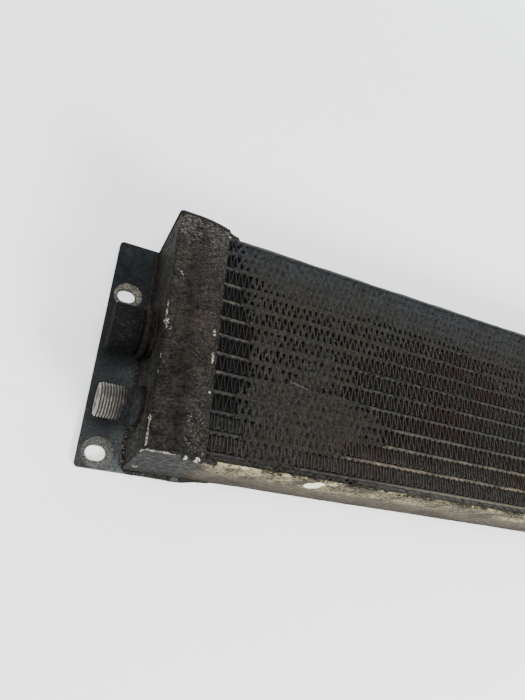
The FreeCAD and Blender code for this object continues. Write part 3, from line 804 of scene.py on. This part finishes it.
def tank_welds(side):
    """The weld runs that join a tank's sheets. x is the distance from the cooler's middle."""
    def run(name, points, radius, seed, wear=0.0, dusty=(0, 0)):
        weld_bead(
            name + "_" + SIDE_NAME[side], [(side * x, y, z) for x, y, z in points], radius * MM,
            seed + side, wear, dusty)

    wall_x = HALF_TANK_X - 0.3 * MM
    foot_z = PLATE_TOP + 0.3 * MM
    ends_y = (NEAR_Y + 2.4 * MM, FAR_Y - 2.4 * MM)
    # Painted light in part: the foot and end welds lie in shade low by the plate, and their dust
    # lightens them.
    run("weld_foot", [(wall_x, y, foot_z) for y in ends_y], 2.0, 71, dusty=(1.5, 0.2))
    ends_x = (HALF_TANK_X - 2 * MM, LIP_X + 5 * MM)
    for end, y in (("near", NEAR_Y - 0.1 * MM), ("far", FAR_Y - 0.5 * MM)):
        run("weld_end_" + end, [(x, y, foot_z) for x in ends_x], 2.2, 75, dusty=(0.9, 0.6))
    heel = [
        (LIP_X + 9 * MM, plate_low.y + 1.3 * MM, 1.7 * MM),
        (LIP_X - 2 * MM, plate_low.y + 1.7 * MM, 1.7 * MM),
        (LIP_X - 10 * MM, NEAR_Y + 1.4 * MM, 1.6 * MM),
        (LIP_X - 24 * MM, NEAR_Y + 2.6 * MM, 1.4 * MM)]
    # The heel weld's dust is likewise partly painted light, lifting a bead that lies in shade.
    run("weld_heel", heel, 1.8, 79, dusty=(0.5, 0.4))
    for end, tank_y, core_y in (
            ("near", NEAR_Y + 2 * MM, side_near_y + 1 * MM),
            ("far", FAR_Y - 2 * MM, side_high.y - 1 * MM)):
        join = [
            (LIP_X + 1 * MM, tank_y, LIP_Z - 1.6 * MM),
            (LIP_X - 2.5 * MM, (tank_y + core_y) / 2, side_high.z + 0.3 * MM),
            (LIP_X - 9 * MM, core_y, side_high.z - 0.9 * MM)]
        run("weld_join_" + end, join, 1.8, 88, dusty=(0.6, 0.6))
    crest = [
        (HALF_TANK_X - along, NEAR_Y + 1.2 * MM, crest_height(along) - 1 * MM)
        for along in np.linspace(22 * MM, TANK_WIDTH - 1 * MM, 30)]
    run("weld_crest", crest, 1.5, 80, 0.32)
    for number, place, size in ((1, 26 * MM, 2.0), (2, 33.5 * MM, 2.5)):
        height = crest_height(place) - 0.6 * MM
        x = HALF_TANK_X - place
        half = side * size * MM
        blob = [
            (x - half, NEAR_Y + 0.9 * MM, height), (x + half, NEAR_Y + 0.7 * MM, height - 0.4 * MM)]
        run("weld_blob_%d" % number, blob, size * 0.75, 83 + number, 0.6)


# ---- oil ports ----
def turned(stations, radii, y, z, segments=96):
    """Rings along X about the axis at y, z; radii is one row of values per station."""
    turn = np.linspace(0, 2 * math.pi, segments, endpoint=False)
    radii = np.asarray(radii, float)
    if radii.ndim == 1:
        radii = np.repeat(radii[:, None], segments, 1)
    x = np.repeat(np.asarray(stations, float)[:, None], segments, 1)
    return np.stack([x, y + radii * np.cos(turn), z + radii * np.sin(turn)], -1)


def threaded_stub():
    """Small port: a real 14 per inch thread, a neck and an open oil way."""
    tip, root = stub_low.x, stub_high.x
    wall = -HALF_TANK_X
    neck_start = wall - 5 * MM
    major = 11.1 * MM
    bore = 8 * MM
    segments = 120
    turn = np.linspace(0, 1, segments, endpoint=False)
    thread_x = np.linspace(tip, neck_start, 230)
    phase = (thread_x[:, None] - tip) / THREAD_PITCH - turn[None]
    saw = np.abs((phase % 1.0) - 0.5) * 2
    cut = np.clip((saw - 0.12) / 0.76, 0, 1)
    start = ease(thread_x, tip, tip + 1.2 * MM)
    run_out = 1 - ease(thread_x, neck_start - 2.5 * MM, neck_start - 0.3 * MM)
    depth = THREAD_DEPTH * (1 - cut) * (start * run_out)[:, None]
    chamfer = 1 * MM * (1 - np.clip((thread_x - tip) / (1 * MM), 0, 1))
    outside = major - depth - chamfer[:, None]
    crests = turned(thread_x, np.full(len(thread_x), major), STUB_Y, PORT_Z, segments)
    outside = outside - 0.1 * MM * np.clip(wobble(crests, 3, 5), 0, 1)
    neck = [(neck_start, 12.1 * MM), (neck_start + 0.5 * MM, 12.5 * MM), (wall, 12.5 * MM),
            (wall + 0.1 * MM, major), (root, major), (root, bore), (tip, bore),
            (tip, bore + 0.9 * MM)]
    stations = np.concatenate([thread_x, [x for x, _ in neck]])
    radii = np.concatenate([outside, np.repeat([[r] for _, r in neck], segments, 1)])
    points, faces = ring_solid(turned(stations, radii, STUB_Y, PORT_Z, segments))
    # The groove depth goes into the 'dust' field, which the thread's material paints as shade.
    groove = np.zeros(radii.shape)
    groove[:len(thread_x)] = depth / THREAD_DEPTH
    make_piece(
        "stub_thread", points, faces, THREAD_STEEL, "bare_thread", ["threaded_stub"], crease=50,
        dust=groove.ravel())
    collar_weld("weld_stub", STUB_Y, 12.4 * MM, 1.5 * MM, 91)


def collar_weld(name, y, radius, size, seed):
    """Weld run round a port where it meets the tank wall."""
    turn = np.linspace(0, 2 * math.pi, 90, endpoint=False)
    swell = 1 + 0.14 * np.abs(np.sin(turn * 15)) + 0.12 * np.sin(turn * 3 + seed)
    centre = np.stack([
        np.full(90, -HALF_TANK_X - 0.2 * MM), y + radius * np.cos(turn),
        PORT_Z + radius * np.sin(turn)], -1)
    outward = np.stack([0 * turn, np.cos(turn), np.sin(turn)], -1)
    to_tip = np.repeat([[-1.0, 0, 0]], 90, 0)
    rings = bead_rings(centre, size * swell, outward, to_tip, 12)
    rings = rings + 0.12 * MM * wobble(rings, 0.9, seed)[..., None]
    points, faces = ring_solid(rings)
    make_piece(name, points, faces, PORT_PAINT, "port_paint", crease=60)


def off_axis(rings):
    """Each point's direction away from the main port's axis, and its distance from it."""
    away = rings - np.array([0, PORT_Y, PORT_Z])
    away[..., 0] = 0
    reach = np.linalg.norm(away, axis=-1, keepdims=True)
    return away / np.maximum(reach, 1e-9), reach


def main_port():
    """Main port: neck, rough round flange and the male end under its cap."""
    wall = -HALF_TANK_X
    tip = port_low.x
    back = wall - 4 * MM
    front = back - 4 * MM
    oil_way, male_end, neck, flange = (radius * MM for radius in (10, 13.4, 15, 18.2))
    outline = [(tip, oil_way), (tip, 12.6 * MM), (tip + 0.8 * MM, male_end)]
    outline += [(front, male_end), (front, flange)]
    for turn in np.linspace(0.15, math.pi - 0.15, 11):
        outline.append((
            (front + back) / 2 - 2 * MM * math.cos(turn), 18.4 * MM + 1 * MM * math.sin(turn)))
    outline += [(back, flange), (back, neck), (wall, neck)]
    outline += [(port_high.x, neck), (port_high.x, oil_way)]
    rings = turned([x for x, _ in outline], [r for _, r in outline], PORT_Y, PORT_Z)
    rough = layers(rings, 4, 61)
    away, reach = off_axis(rings)
    rings = rings - away * np.where(reach > 17 * MM, 0.75 * MM * np.abs(rough)[..., None], 0)
    points, faces = ring_solid(rings)
    reach = np.linalg.norm(points[:, 1:] - (PORT_Y, PORT_Z), axis=1)
    wear = np.where(reach > flange, 0.32, 0.0)
    make_piece("port_body", points, faces, PORT_PAINT, "port_paint", ["main_port"], 50, wear=wear)
    collar_weld("weld_port", PORT_Y, 15.2 * MM, 1.7 * MM, 95)


def blanking_cap():
    """Round rubber cap: a cup with a rolled mouth, shallow grip rings and a dished end."""
    tip, mouth = cap_low.x, cap_high.x
    outer = 16.8 * MM
    outline = [(tip + 0.9 * MM, 0.4 * MM), (tip + 0.8 * MM, 6 * MM), (tip + 0.15 * MM, 11 * MM)]
    for turn in np.linspace(0, math.pi / 2, 8):
        outline.append((
            tip + 2.5 * MM * (1 - math.sin(turn)), outer - 2.5 * MM * (1 - math.cos(turn))))
    outline.sort(key=lambda point: point[1])
    for x in np.linspace(tip + 3 * MM, mouth - 2.6 * MM, 44):
        groove = 0.22 * MM * (0.5 - 0.5 * math.cos(2 * math.pi * (x - tip) / (3.2 * MM)))
        outline.append((x, outer - 0.05 * MM - groove))
    for turn in np.linspace(-math.pi / 2, math.pi / 2, 7):
        lip = (1.2 * MM * math.sin(turn), 0.9 * MM * math.cos(turn))
        outline.append((mouth - 1.2 * MM + lip[0], outer - 0.9 * MM + lip[1]))
    inside = 13.45 * MM
    outline += [(mouth, inside + 0.2 * MM), (tip + 3.5 * MM, inside), (tip + 3.5 * MM, 0.4 * MM)]
    rings = turned([x for x, _ in outline], [r for _, r in outline], PORT_Y, PORT_Z, 84)
    away, _ = off_axis(rings)
    pits = 0.14 * MM * (layers(rings, 1.9, 44) + layers(rings, 6, 45, 1))
    rings = rings - away * np.clip(pits + 0.1 * MM, 0, None)[..., None]
    points, faces = ring_solid(rings)
    make_piece("cap_shell", points, faces, CAP_RUBBER, "cap_rubber", ["blanking_cap"], crease=50)


# ---- core ----
def side_plate(end):
    """Long side plate: rounded, dented and worn bright in places."""
    node = "side_plate_" + end
    low, high, outward, outer_y, inner_y = plate_faces(node, end)
    rounding = 0.9 * MM
    turns = np.linspace(0, math.pi / 2, 6)
    foot = [(rounding * (1 - math.sin(t)), rounding * (1 - math.cos(t))) for t in turns]
    middle = [(0, z) for z in np.linspace(rounding, high.z - rounding, 44)[1:-1]]
    crown = [(depth, high.z - height) for depth, height in foot[::-1]]
    x, depth, z = sweep(np.linspace(low.x, high.x, 300), np.array(foot + middle + crown))
    outer = np.stack([x, outer_y - outward * depth, z], -1)
    seed = 101 if end == "near" else 111
    crown_share = past(z, 46, 56)
    sink = 0.12 * MM * layers(outer, 3, seed) + 0.3 * MM * wobble(outer, 30, seed)
    sink = sink + 0.45 * MM * crown_share * wobble(outer, 14, seed + 1)
    sink = np.clip(sink + 0.3 * MM, 0, 1.3 * MM)
    outer[..., 1] -= outward * sink
    outer[..., 2] -= 0.6 * MM * crown_share * np.clip(wobble(outer, 18, seed + 2), 0, 1)
    inner = np.stack([x, np.full(x.shape, inner_y), np.clip(z, 0, high.z - 0.1 * MM)], -1)
    wear = 0.4 * past(z, 49, 53) * ease(wobble(outer, 9, seed + 3), 0.05, 0.5)
    wear = wear + 0.14 * ease(wobble(outer, 11, seed + 4), 0.2, 0.7)
    if end == "near":
        scrape = np.hypot((x + HALF_TANK_X - 123 * MM) / (7.5 * MM), (z - 44 * MM) / (13 * MM))
        scrape = scrape + 0.38 * wobble(outer, 4, seed + 5)
        wear = np.maximum(wear, 0.8 * (1 - ease(scrape, 0.6, 1.1)))
    ends = np.minimum(x - low.x, high.x - x)
    dust = 0.7 * (1 - past(ends, 1, 9)) * (0.7 + 0.5 * wobble(outer, 5, seed + 6))
    dust = dust + 0.45 * ease(wobble(outer * (0.5, 1, 1), 10, seed + 8), 0.15, 0.6)
    return sheet_piece(
        "side_skin_" + end, outer, inner, SIDE_METAL, "side_metal", node, wear,
        np.clip(dust, 0, 0.9))


def tube_skin(node, seed):
    """One flat tube, hollow, with small dents along its nose."""
    low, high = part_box(node)
    half = (high.y - low.y) / 2
    mid_y = (high.y + low.y) / 2

    def rings(radius):
        turns = np.linspace(0, math.pi, 9)
        top = [(radius * math.cos(t), high.z - half + radius * math.sin(t)) for t in turns]
        left = [(-radius, z) for z in np.linspace(high.z - half, low.z + half, 6)[1:-1]]
        base = [(-radius * math.cos(t), low.z + half - radius * math.sin(t)) for t in turns]
        right = [(radius, z) for z in np.linspace(low.z + half, high.z - half, 6)[1:-1]]
        x, y, z = sweep(np.linspace(low.x, high.x, 200), np.array(top + left + base + right))
        return np.stack([x, mid_y + y, z], -1)

    outside = rings(half)
    nose = ease(outside[..., 2], high.z - 3 * MM, high.z - 1 * MM)
    outside[..., 1] += 0.1 * MM * nose * wobble(outside, 9, seed)
    outside[..., 2] -= 0.35 * MM * nose * np.clip(wobble(outside, 6, seed + 1), 0, 1)
    outside[..., 2] -= 0.12 * MM * nose * np.abs(wobble(outside, 1.6, seed + 2))
    inside = rings(half - TUBE_WALL)[::-1]
    points, faces = ring_solid(np.concatenate([outside, inside]))
    return make_piece("tube_skin_" + node[-2:], points, faces, TUBE_METAL, "tube_metal", [node])


# Points round a fold's bend: share of the crest from its middle, share of the curl inward.
BEND_POINTS = ((-0.5, 1.0), (-0.34, 0.28), (-0.14, 0.0), (0.14, 0.0), (0.34, 0.28), (0.5, 1.0))


def fin_path(spots, low_y, high_y, crest):
    """Middle line of a folded sheet: nearly upright leaves joined by rounded bends."""
    curl = 0.55 * MM
    path = [(spots[0], low_y)]
    for index, x in enumerate(spots):
        inward = 1 if index % 2 == 0 else -1
        y = low_y if index % 2 == 0 else high_y
        for share, depth in BEND_POINTS:
            if 0 <= index + share <= len(spots) - 1:
                path.append((x + share * crest, y + inward * depth * curl))
        if index < len(spots) - 1:
            start = path[-1]
            end_y = (high_y if index % 2 == 0 else low_y) - inward * curl
            end = (spots[index + 1] - crest / 2, end_y)
            for share in (0.25, 0.5, 0.75):
                path.append((
                    start[0] + (end[0] - start[0]) * share, start[1] + (end[1] - start[1]) * share))
    return np.array(path)


def fin_skin(name, node, period, crest, seed, bend):
    """One row of folded fin: uneven waves, leaves bent over near the open face."""
    low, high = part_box(node)
    count = int(round((high.x - low.x) / period)) * 2
    spots = low.x + np.arange(count + 1) * period / 2
    inner_spots = flat_points(spots[1:-1], np.full(count - 1, low.y))
    spots[1:-1] += 0.16 * period / 2 * wobble(inner_spots, 1.9, seed)
    path = fin_path(spots, low.y + FIN_SHEET / 2, high.y - FIN_SHEET / 2, crest)
    depths = [low.z] + [high.z - drop * MM for drop in (16, 8, 4, 1.6, 0.5, 0)]
    z, x, y = sweep(np.array(depths), path)
    middle = np.stack([x, y, z], -1)
    half_row = (high.y - low.y) / 2
    free = 1 - np.abs(y - (low.y + high.y) / 2) / half_row
    tip = ease(z, high.z - 9 * MM, high.z)
    flat = middle * (1, 1, 0)
    lean = bend * tip * (wobble(flat, 7, seed + 1) + 0.5 * wobble(flat, 2.6, seed + 2))
    middle[..., 0] += np.clip(lean, -0.9 * MM, 0.9 * MM) * (0.35 + 0.65 * free)
    middle[..., 2] -= 0.7 * MM * tip * np.clip(wobble(flat, 2.2, seed + 3) + 0.1, 0, 1)
    along = np.gradient(middle[..., :2], axis=1)
    normal = np.stack([-along[..., 1], along[..., 0]], -1)
    normal = normal / np.maximum(np.linalg.norm(normal, axis=-1, keepdims=True), 1e-9)
    offset = np.concatenate([normal, np.zeros(normal.shape[:-1] + (1,))], -1) * FIN_SHEET / 2
    outer, inner = middle + offset, middle - offset
    for side in (outer, inner):
        side[..., 1] = np.clip(side[..., 1], low.y, high.y)
        side[..., 0] = np.clip(side[..., 0], low.x - 0.5 * MM, high.x + 0.5 * MM)
    points, faces = slab(outer, inner)
    return make_piece(name, points, faces, FIN_METAL, "fin_paint", [node], 35)


# Patches of matted dirt on the fin face: middle (along, up_tank) and half sizes in mm, strength.
DIRT_PATCHES = (
    (108, 46, 62, 31, 1.3), (84, 26, 40, 24, 1.08), (150, 46, 38, 20, 1),
    (104, 82, 62, 34, 0.94), (116, 118, 84, 40, 0.86), (120, 164, 90, 42, 1.36),
    (190, 140, 90, 36, 0.8), (230, 166, 130, 40, 1.3), (330, 160, 130, 46, 1.2),
    (320, 128, 60, 34, 0.8), (215, 95, 80, 40, 0.46), (440, 70, 80, 60, 0.6),
)
DIRT_SPAN = (2 * MM - LIP_X, LIP_X - 2 * MM)
MAT_STEP = 0.62 * MM  # grid of the matted dirt, whose two pieces meet at a seam
SEAM_X = DIRT_SPAN[0] + 262 * MAT_STEP
# A pale scratch across the matted dirt: its two ends, as (along, up_tank).
SCRATCH_ENDS = ((97 * MM, 67.5 * MM), (110 * MM, 64.5 * MM))


def dirt_strength(x, y):
    """How thickly dirt lies at a place on the fin face: 0 is clean, 1 covers everything."""
    along = x + HALF_TANK_X
    up_tank = y - NEAR_Y
    flat = flat_points(x, y)
    total = strongest(DIRT_PATCHES, along, up_tank, 0.55, 1.15)
    total = total + 0.2 * wobble(flat, 16, 201) + 0.16 * wobble(flat, 5, 202)
    ragged = along + 11 * MM * wobble(flat, 13, 209) + 30 * MM * past(up_tank, 138, 152)
    return total * ease(ragged, TANK_WIDTH + 8 * MM, TANK_WIDTH + 30 * MM)


def gap_openness(x, y):
    """0 on a tube or a fin leaf, up to 1 in the widest part of the gap between leaves."""
    row = (y - TUBE_YS[0]) / TUBE_PITCH
    share = row - np.floor(row)
    off_tube = np.minimum(share, 1 - share) * TUBE_PITCH - 1.5 * MM
    height = np.clip((share * TUBE_PITCH - 1.5 * MM) / (TUBE_PITCH - 3 * MM), 0, 1)
    wave = (x - fin_low.x) / FIN_PERIOD
    wave = wave - np.floor(wave)
    leaf_up = height / 2
    leaf_down = 1 - height / 2
    away = np.minimum(np.abs(wave - leaf_up), np.abs(wave - leaf_down))
    return np.clip(away * 2.8, 0, 1) * np.clip(off_tube / (1.2 * MM), 0, 1)


def on_scratch(points):
    """How pale the dirt is: 0.6 on the scratch across it, 0 elsewhere."""
    start, end = (np.array([a - HALF_TANK_X, u + NEAR_Y]) for a, u in SCRATCH_ENDS)
    way = end - start
    share = np.clip(((points[:, :2] - start) @ way) / (way @ way), 0, 1)
    away = np.linalg.norm(points[:, :2] - start - share[:, None] * way, axis=1)
    return 0.6 * (1 - past(away, 0.2, 0.6))


def lumps_of_dirt(
        name, step, keep, top_z, base_z, shade, low_y, high_y, pale=on_scratch, span=DIRT_SPAN):
    """A felted sheet over the cells of a grid that keep allows, with rough upper side.

    shade gives how dark the dirt is at each point, which is painted shade where it lies deep below
    the fin face, and pale how light, from 0 to 1.
    """
    x, y = np.meshgrid(np.arange(*span, step), np.arange(low_y, high_y, step), indexing="ij")
    solid = keep(x, y)
    filled = solid[:-1, :-1] & solid[1:, :-1] & solid[:-1, 1:] & solid[1:, 1:]
    count = x.size
    index = np.arange(count).reshape(x.shape)
    corners = (index[:-1, :-1], index[1:, :-1], index[1:, 1:], index[:-1, 1:])
    quads = np.stack([corner[filled] for corner in corners], -1)
    edges = np.concatenate([quads[:, [k, (k + 1) % 4]] for k in range(4)])
    key = np.sort(edges, 1)
    _, inverse, number = np.unique(
        key[:, 0] * count + key[:, 1], return_inverse=True, return_counts=True)
    rim = edges[number[inverse] == 1]
    walls = np.stack([rim[:, 1], rim[:, 0], rim[:, 0] + count, rim[:, 1] + count], -1)
    faces = np.concatenate([quads, quads[:, ::-1] + count, walls])
    points = np.concatenate([
        np.stack([x, y, z], -1).reshape(-1, 3) for z in (top_z(x, y), np.full(x.shape, base_z))])
    used, faces = np.unique(faces, return_inverse=True)
    points = points[used]
    # The 'dust' field carries shade, which the dirt's material paints as darker colour.
    piece = make_piece(
        name, points, faces.reshape(-1, 4), DIRT, "fin_paint", crease=80, wear=pale(points),
        dust=shade(points))
    # The seam's own points are left out of the softening, so the mat's pieces still meet.
    free = piece.vertex_groups.new(name="free")
    off_seam = np.abs(points[:, 0] - SEAM_X) > MAT_STEP / 10
    free.add(np.nonzero(off_seam)[0].tolist(), 1.0, "REPLACE")
    soften = piece.modifiers.new("soften", "SMOOTH")
    soften.vertex_group = "free"
    soften.factor = 0.5
    soften.iterations = 2
    return piece


def dirt_mat():
    """Felted dirt over and between the fins, with holes where the gaps are still open."""
    def cover(x, y):
        holes = 0.38 * wobble(flat_points(x, y), 1.5, 205) - 0.26 - 0.58 * gap_openness(x, y)
        return dirt_strength(x, y) + holes

    def top(x, y):
        flat = flat_points(x, y)
        rise = np.clip(cover(x, y), 0, 0.9)
        lump = 0.6 * layers(flat, 2.6, 207) * np.clip(rise * 2, 0.2, 1)
        dimple = 1.3 * gap_openness(x, y) * (1 - 0.6 * rise)
        return fin_high.z - 0.35 * MM + (0.8 * rise + lump - dimple) * MM

    def shade(points):
        # Painted shade: the mat is darker where it lies deeper below the fin face.
        return 0.9 * past(fin_high.z - points[:, 2], 0.5, 2.2)

    for label, span in (
            ("left", (DIRT_SPAN[0], SEAM_X + 0.5 * MAT_STEP)), ("right", (SEAM_X, DIRT_SPAN[1]))):
        lumps_of_dirt(
            "matted_dirt_" + label, MAT_STEP, lambda x, y: cover(x, y) > 0.12, top,
            fin_high.z - 2.6 * MM, shade, NEAR_Y + 3 * MM, side_low.y - 0.3 * MM, span=span)


def gap_dirt():
    """Loose dirt caught between the leaves: shallow in the near edge row, deep by the tanks."""
    def from_tank(x):
        return np.minimum(x + LIP_X, LIP_X - x)

    def top(x, y):
        flat = flat_points(x, y)
        near_rows = 1 - ease(y, TUBE_YS[1], TUBE_YS[1] + 2 * TUBE_PITCH)
        by_tank = 0.5 * MM * (1 - past(from_tank(x), 16, 34))
        rough = (1.3 - 0.7 * near_rows) * MM * layers(flat, 3.4, 231, 2)
        return fin_high.z - 3 * MM + 2.1 * near_rows * MM - by_tank * (1 - 0.6 * near_rows) + rough

    def keep(x, y):
        flat = flat_points(x, y)
        share = (y - TUBE_YS[0]) / TUBE_PITCH
        off_tube = np.abs(share - np.round(share)) * TUBE_PITCH > 1.9 * MM
        held = 0.75 + 0.8 * wobble(flat, 5, 233) + 1.2 * (y < TUBE_YS[1] + TUBE_PITCH)
        held = held + 0.35 * (1 - past(from_tank(x), 16, 34))
        return off_tube & (held > 0.3)

    def shade(points):
        near_rows = 1 - ease(points[:, 1], TUBE_YS[1], TUBE_YS[1] + 2 * TUBE_PITCH)
        deep = past(fin_high.z - points[:, 2], 1, 5)
        # Painted shade: the caught dirt is darker the deeper it lies, and lighter in the near rows.
        return (0.24 - 0.19 * near_rows) + 0.4 * deep

    lumps_of_dirt(
        "caught_dirt", 1.05 * MM, keep, top, fin_high.z - 9 * MM, shade, TUBE_YS[0],
        side_low.y - 0.3 * MM)


def edge_dirt():
    """Dust that nearly fills the near edge row, with the folds of its fin just showing."""
    def top(x, y):
        return fin_high.z - 0.65 * MM + 0.3 * MM * layers(flat_points(x, y), 1.8, 241, 2)

    def keep(x, y):
        return wobble(flat_points(x, y), 3.2, 243) > -0.62

    def shade(points):
        return 0.05 + 0.4 * ease(wobble(points, 6, 245), -0.1, 0.6)

    def pale(points):
        return 0.08 + 0.34 * past(points[:, 0], -170, -60)

    lumps_of_dirt(
        "edge_dirt", 0.46 * MM, keep, top, fin_high.z - 4 * MM, shade, edge_low.y + 0.1 * MM,
        edge_high.y, pale)


def main():
    """Every piece of the cooler, and the inner CAD pieces' material."""
    for side in (LEFT, RIGHT):
        cover = tank_cover(side)
        if side == LEFT:
            cut_port_holes(cover)
        for end in ("near", "far"):
            end_plate(side, end)
        mounting_plate(side)
        tank_welds(side)
    threaded_stub()
    main_port()
    blanking_cap()
    for end in ("near", "far"):
        side_plate(end)
    for number in range(1, 13):
        tube_skin("tube_%02d" % number, 300 + number * 7)
    for number in range(1, 12):
        node = "fin_%02d" % number
        crest = 1.9 * MM if number < 3 else 1.2 * MM
        fin_skin("fin_skin_%02d" % number, node, FIN_PERIOD, crest, 400 + number * 11, 0.8 * MM)
    for end in ("near", "far"):
        fin_skin(
            "edge_fin_skin_" + end, "edge_fin_" + end, EDGE_FIN_PERIOD, 0.8 * MM,
            600 + len(end), 0.6 * MM)
    dirt_mat()
    gap_dirt()
    edge_dirt()
    hidden = ["header_plate_left", "header_plate_right", "pass_divider"]
    hidden += ["turbulator_%02d" % number for number in range(1, 13)]
    for node in hidden:
        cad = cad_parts[node]
        cad.data.materials.clear()
        cad.data.materials.append(INNER_STEEL)


# ---- stage, light and camera ----
def stage():
    """Plain pale floor under the cooler."""
    shape = bmesh.new()
    bmesh.ops.create_grid(shape, x_segments=2, y_segments=2, size=40.0)
    bmesh.ops.translate(shape, vec=(0, 0, -0.1 * MM), verts=shape.verts)
    mesh = bpy.data.meshes.new("floor")
    shape.to_mesh(mesh)
    shape.free()
    mesh.materials.append(pale_floor())
    floor = add_object("floor", mesh)


def soft_light(name, place, target, size, power, colour):
    """A large area light aimed at a point."""
    lamp = bpy.data.lights.new(name, "AREA")
    lamp.shape = "RECTANGLE"
    lamp.size, lamp.size_y = size
    lamp.energy = power
    lamp.color = colour
    holder = add_object(name, lamp)
    holder.location = place
    aim = Vector(target) - Vector(place)
    holder.rotation_euler = aim.to_track_quat("-Z", "Y").to_euler()


def lights():
    """Soft studio light: key from the near side, cool light low over the far side."""
    world = bpy.data.worlds.new("studio")
    world.use_nodes = True
    sky = world.node_tree.nodes["Background"]
    sky.inputs["Color"].default_value = (0.94, 0.97, 1.0, 1.0)
    sky.inputs["Strength"].default_value = 0.95
    bpy.context.scene.world = world
    middle = (-0.12, 0, 0.03)
    soft_light("key", (0.75, -1.2, 0.8), middle, (0.6, 0.5), 62, (1.0, 0.985, 0.96))
    soft_light("top", (-0.5, -0.3, 1.7), middle, (1.2, 1.2), 46, (1.0, 1.0, 1.0))
    soft_light("far", (0.4, 1.3, 0.45), middle, (1.4, 0.5), 22, (0.84, 0.92, 1.0))


def camera():
    """Camera above the left tank, turned well over to the side."""
    azimuth, elevation, roll = (math.radians(angle) for angle in (-39.67, 56.05, 49.0))
    place = Vector((-HALF_TANK_X - 61.8 * MM, NEAR_Y - 77.4 * MM, 370.5 * MM))
    back = Vector((
        math.sin(azimuth) * math.cos(elevation), -math.cos(azimuth) * math.cos(elevation),
        math.sin(elevation)))
    lens = bpy.data.cameras.new("camera")
    lens.lens = 27.98
    lens.sensor_width = 36
    lens.clip_start = 0.01
    lens.clip_end = 50
    holder = add_object("camera", lens)
    level = (-back).to_track_quat("-Z", "Y")
    holder.rotation_mode = "QUATERNION"
    holder.rotation_quaternion = level @ Matrix.Rotation(roll, 3, "Z").to_quaternion()
    holder.location = place
    bpy.context.scene.camera = holder


main()
stage()
lights()
camera()
